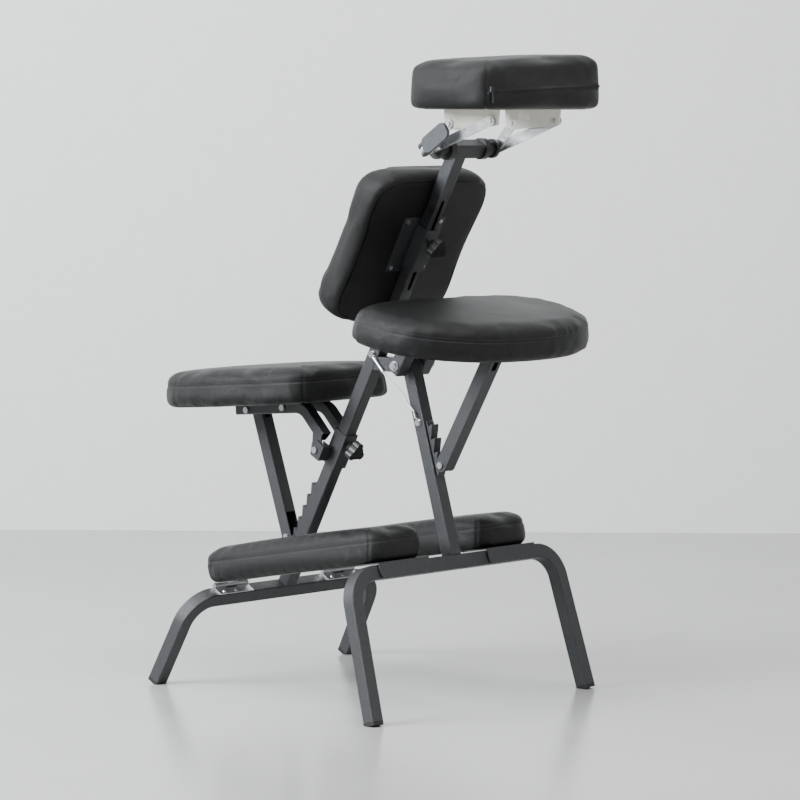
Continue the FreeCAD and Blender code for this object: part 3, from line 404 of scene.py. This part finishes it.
def applyModifier(piece, kind, **values):
    modifier = piece.modifiers.new(kind.lower(), kind)
    for key, value in values.items():
        setattr(modifier, key, value)
    bakeModifiers(piece)


def bakeModifiers(piece):
    bpy.context.view_layer.update()
    graph = bpy.context.evaluated_depsgraph_get()
    mesh = bpy.data.meshes.new_from_object(piece.evaluated_get(graph))
    piece.modifiers.clear()
    old = piece.data
    piece.data = mesh
    bpy.data.meshes.remove(old)


cloth = {"quality": 4, "mass": 0.3, "bending": 3.0, "frames": 20}


def inflate(pad, settings):
    up = settings["up"]
    low = min(vert.co.dot(up) for vert in pad.data.vertices)
    held = [vert.index for vert in pad.data.vertices if vert.co.dot(up) < low + settings["held"]]
    pad.vertex_groups.new(name="held").add(held, 1.0, "REPLACE")
    fabric = pad.modifiers.new("cloth", "CLOTH")
    fabric.settings.quality = cloth["quality"]
    fabric.settings.mass = cloth["mass"]
    fabric.settings.tension_stiffness = settings["stiff"]
    fabric.settings.compression_stiffness = settings["stiff"]
    fabric.settings.bending_stiffness = cloth["bending"]
    fabric.settings.use_pressure = True
    fabric.settings.uniform_pressure_force = settings["pressure"]
    fabric.settings.vertex_group_mass = "held"
    fabric.settings.effector_weights.gravity = 0
    fabric.collision_settings.use_collision = False
    fabric.point_cache.frame_start = 1
    fabric.point_cache.frame_end = cloth["frames"]
    before = [vert.co.copy() for vert in pad.data.vertices]
    for step in range(1, cloth["frames"] + 1):
        scene.frame_set(step)
    bakeModifiers(pad)
    for vert, start in zip(pad.data.vertices, before):
        move = vert.co - start
        if move.length > settings["cap"]:
            vert.co = start + move * (settings["cap"] / move.length)
    calm(pad, settings["calm"])
    scene.frame_set(1)


def calm(pad, rounds):
    bm = bmesh.new()
    bm.from_mesh(pad.data)
    for turn in range(rounds):
        bmesh.ops.smooth_vert(bm, verts=bm.verts, factor=0.5, use_axis_x=True, use_axis_y=True,
                              use_axis_z=True)
    bm.to_mesh(pad.data)
    bm.free()


def crown(pad, settings):
    up = settings["up"]
    heights = [vert.co.dot(up) for vert in pad.data.vertices]
    low, high = min(heights), max(heights)
    middle = sum((vert.co for vert in pad.data.vertices), Vector()) / len(pad.data.vertices)
    reach = max((vert.co - middle).cross(up).length for vert in pad.data.vertices)
    for vert, height in zip(pad.data.vertices, heights):
        rise = (height - low) / (high - low)
        out = (vert.co - middle).cross(up).length / reach
        vert.co += up * settings["crown"] * rise * max(0, 1 - out * out)
        vert.co += up * settings["roll"] * vert.co.y * rise


def wrapBoard(pad, settings):
    up = settings["up"]
    low = min(vert.co.dot(up) for vert in pad.data.vertices)
    for vert in pad.data.vertices:
        height = vert.co.dot(up) - low
        if height < settings["wrapFrom"]:
            vert.co -= up * settings["wrap"] * (1 - height / settings["wrapFrom"])


fold = {"groove": 0.0028, "nearSeam": 0.03, "nearCorner": 0.02, "cornerReach": 0.045,
        "coarse": 55, "fine": 120, "slack": 14}


def crease(pad, settings):
    up = settings["up"]
    seam = settings["seamHeight"]
    mesh = pad.data
    normals = [vert.normal.copy() for vert in mesh.vertices]
    low = min(vert.co.dot(up) for vert in mesh.vertices)
    for vert, normal in zip(mesh.vertices, normals):
        height = vert.co.dot(up) - low - seam if seam else 1.0
        push = settings["seamDepth"] * math.exp(-(height / fold["groove"]) ** 2)
        near = math.exp(-(height / fold["nearSeam"]) ** 2)
        for corner in settings["corners"]:
            away = vert.co - Vector((corner[0], corner[1], vert.co.z))
            outward = Vector((corner[2], corner[3], 0)).normalized()
            across = abs(away.dot(outward.cross(Vector((0, 0, 1)))))
            if away.length < fold["cornerReach"]:
                push += settings["seamDepth"] * math.exp(-(across / fold["groove"]) ** 2)
                near = max(near, math.exp(-(across / fold["nearCorner"]) ** 2))
        ripple = noise.noise(vert.co * fold["coarse"] + Vector((0, 0, 3.1))) * 0.6
        ripple += noise.noise(vert.co * fold["fine"]) * 0.4
        slack = noise.noise(vert.co * fold["slack"])
        push += settings["wrinkle"] * near * ripple + settings["slack"] * slack
        vert.co -= normal * push


def surfaceLoop(mesh, point, normal):
    bm = bmesh.new()
    bm.from_mesh(mesh)
    whole = bm.verts[:] + bm.edges[:] + bm.faces[:]
    cut = bmesh.ops.bisect_plane(bm, geom=whole, dist=1e-6, plane_co=point, plane_no=normal)["geom_cut"]
    edges = {edge for edge in cut if isinstance(edge, bmesh.types.BMEdge)}
    rings = []
    while edges:
        edge = edges.pop()
        ring = [edge.verts[0], edge.verts[1]]
        while True:
            step = next((e for e in ring[-1].link_edges if e in edges), None)
            if step is None:
                break
            edges.discard(step)
            ring.append(step.other_vert(ring[-1]))
        rings.append(ring)
    ring = max(rings, key=len)
    line = [(vert.co.copy(), vert.normal.copy()) for vert in ring]
    bm.free()
    return line


def evenSteps(line, gap):
    places = []
    carry = 0.0
    for (a, na), (b, nb) in zip(line, line[1:]):
        length = (b - a).length
        while carry < length:
            along = carry / length
            places.append((a.lerp(b, along), na.lerp(nb, along).normalized(), (b - a).normalized()))
            carry += gap
        carry -= length
    return places


stitch = {"gap": 0.0062, "lift": 0.0001, "shape": (4.2, 1.1, 0.9, 1), "radius": 0.0005}


def stitchRows(name, pad, settings):
    up = settings["up"]
    low = min(vert.co.dot(up) for vert in pad.data.vertices)
    bm = bmesh.new()
    for side in settings["rows"]:
        level = up * (low + settings["seamHeight"] + side)
        for place, normal, along in evenSteps(surfaceLoop(pad.data, level, up), stitch["gap"]):
            across = normal.cross(along).normalized()
            turn = Matrix((along, across, normal)).transposed().to_4x4()
            shape = Matrix.Translation(place + normal * stitch["lift"]) @ turn
            shape = shape @ Matrix.Diagonal(stitch["shape"])
            bmesh.ops.create_icosphere(bm, subdivisions=1, radius=stitch["radius"], matrix=shape)
    return finishPiece(name, bm, threadFinish, settings["body"])


def finishPiece(name, bm, material, body):
    mesh = bpy.data.meshes.new(name)
    bmesh.ops.recalc_face_normals(bm, faces=bm.faces)
    bm.to_mesh(mesh)
    bm.free()
    mesh.materials.append(material)
    piece = bpy.data.objects.new(name, mesh)
    scene.collection.objects.link(piece)
    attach(piece, body)
    return piece


def buildPad(settings):
    pad = startPad(settings)
    inflate(pad, settings)
    crown(pad, {**settings, "crown": settings["crown"] * 0.4})
    if settings["wrap"]:
        wrapBoard(pad, settings)
    applyModifier(pad, "SUBSURF", levels=1, render_levels=1)
    crease(pad, settings)
    pad.data.materials.clear()
    pad.data.materials.append(finish["upholstery"])
    for face in pad.data.polygons:
        face.use_smooth = True
    if settings["seamHeight"]:
        stitchRows(settings["name"] + "Stitches", pad, settings)
    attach(pad, settings["body"])
    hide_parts(settings["node"])
    print("cushion", settings["name"], len(pad.data.polygons), "faces")
    return pad


common = {"voxel": 0.006, "round": 5, "shrink": -0.004, "held": 0.006, "stiff": 12, "pressure": 4.0,
          "cap": 0.007, "crown": 0.012, "wrap": 0.008, "wrapFrom": 0.02, "seamDepth": 0.0013,
          "wrinkle": 0.0003, "slack": 0.0003,
          "rows": (0.0035, -0.0035), "corners": (), "fill": 0.85, "calm": 6, "roll": 0.0}


def cornersOf(node, insetX, insetY, ends):
    low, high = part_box(node)
    found = []
    for endX in ends:
        for endY in (-1, 1):
            x = high.x - insetX if endX > 0 else low.x + insetX
            y = high.y - insetY if endY > 0 else low.y + insetY
            found.append((x, y, endX, endY))
    return found


buildPad({**common, "name": "seatPad", "node": "seat_pad", "body": "seat", "up": leaned(-5.0),
          "seamHeight": 0.047, "crown": 0.016, "corners": cornersOf("seat_pad", 0.02, 0.072, (1,))})
buildPad({**common, "name": "armPad", "node": "arm_pad", "body": "arm_rest", "up": leaned(10.0),
          "seamHeight": 0.046, "crown": 0.013})
for side in ("left", "right"):
    buildPad({**common, "name": "kneePad" + side.capitalize(), "node": "knee_pad_" + side,
              "body": "knee_" + side,
              "up": leaned(-10.387), "seamHeight": 0.046, "crown": 0.012,
              "corners": cornersOf("knee_pad_" + side, 0.022, 0.014, (1, -1))})
buildPad({**common, "name": "chestPad", "node": "chest_pad", "body": "chest_rest",
                     "up": leaned(chestLean), "seamHeight": 0.0, "crown": 0.014, "round": 9})
headPad = buildPad({**common, "name": "headPad", "node": "head_cushion", "body": "face_cradle",
                    "up": leaned(0.0),
                    "seamHeight": 0.0, "crown": 0.008, "wrap": 0.0, "round": 4,
                    "corners": cornersOf("head_cushion", 0.012, 0.014, (1, -1)), "roll": 0.045})


# ---- zip across the front of the head cushion
zipper = {"height": 0.036, "half": 0.165, "tape": 0.013, "lift": 0.0007, "tooth": 0.0026,
          "toothLift": 0.0014, "toothSize": (0.0016, 0.0015, 0.0034, 1), "body": "face_cradle"}


def onPad(pad, start, towards):
    hit, place, normal, index = pad.ray_cast(start, towards)
    return (place, normal) if hit else (start, -towards)


def buildZip():
    low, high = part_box("head_cushion")
    inward = Vector((-1, 0, 0))
    bm = bmesh.new()
    tape = bmesh.new()
    steps = round(2 * zipper["half"] / zipper["tooth"])
    bmesh.ops.create_grid(tape, x_segments=steps // 2, y_segments=4, size=1)
    for vert in tape.verts:
        y = vert.co.x * zipper["half"]
        z = low.z + zipper["height"] + y * 0.04 + vert.co.y * zipper["tape"] / 2
        place, normal = onPad(headPad, Vector((high.x + 0.05, y, z)), inward)
        vert.co = place + normal * zipper["lift"]
    for step in range(steps + 1):
        y = (step / steps * 2 - 1) * zipper["half"]
        z = low.z + zipper["height"] + y * 0.04 + (0.0007 if step % 2 else -0.0007)
        place, normal = onPad(headPad, Vector((high.x + 0.05, y, z)), inward)
        shape = Matrix.Translation(place + normal * zipper["toothLift"])
        shape = shape @ Matrix.Diagonal(zipper["toothSize"])
        bmesh.ops.create_cube(bm, size=1, matrix=shape)
    slider = Vector((high.x + 0.05, -zipper["half"] + 0.004, low.z + zipper["height"] - 0.006))
    place, normal = onPad(headPad, slider, inward)
    pull = bmesh.new()
    bmesh.ops.create_cube(pull, size=1, matrix=Matrix.Translation(place + Vector((0.0035, 0, 0.006)))
                          @ Matrix.Diagonal((0.0045, 0.009, 0.010, 1)))
    bmesh.ops.create_cube(pull, size=1, matrix=Matrix.Translation(place + Vector((0.0048, 0.002, -0.010)))
                          @ Matrix.Diagonal((0.0014, 0.006, 0.022, 1)))
    bmesh.ops.bevel(pull, geom=pull.edges[:], offset=0.0006, segments=2, profile=0.5, affect="EDGES",
                    material=-1)
    finishPiece("zipTape", tape, tapeFinish, zipper["body"])
    finishPiece("zipTeeth", bm, finish["black_plastic"], zipper["body"])
    finishPiece("zipSlider", pull, finish["track_steel"], zipper["body"])


buildZip()
print("zip sewn")

# ---- staples round the felt back of the chest rest
staple = {"gap": 0.019, "inset": 0.010, "size": (0.0095, 0.0009, 0.0011)}


def buildStaples():
    up = leaned(chestLean)
    board = nodes["chest_board"].data
    back = min(vert.co.dot(up) for vert in board.vertices)
    ring = surfaceLoop(board, up * (back + 0.004), up)
    centre = sum((place for place, normal in ring), Vector()) / len(ring)
    inner = []
    for place, normal in ring:
        place = place + (centre - place).normalized() * staple["inset"]
        inner.append((place - up * (place.dot(up) - back + 0.0004), -up))
    bm = bmesh.new()
    for place, normal, along in evenSteps(inner, staple["gap"]):
        across = normal.cross(along).normalized()
        turn = Matrix((along, across, normal)).transposed().to_4x4()
        bmesh.ops.create_cube(bm, size=1, matrix=Matrix.Translation(place) @ turn
                              @ Matrix.Diagonal((*staple["size"], 1)))
    finishPiece("feltStaples", bm, finish["track_steel"], "chest_rest")


buildStaples()
print("staples set")
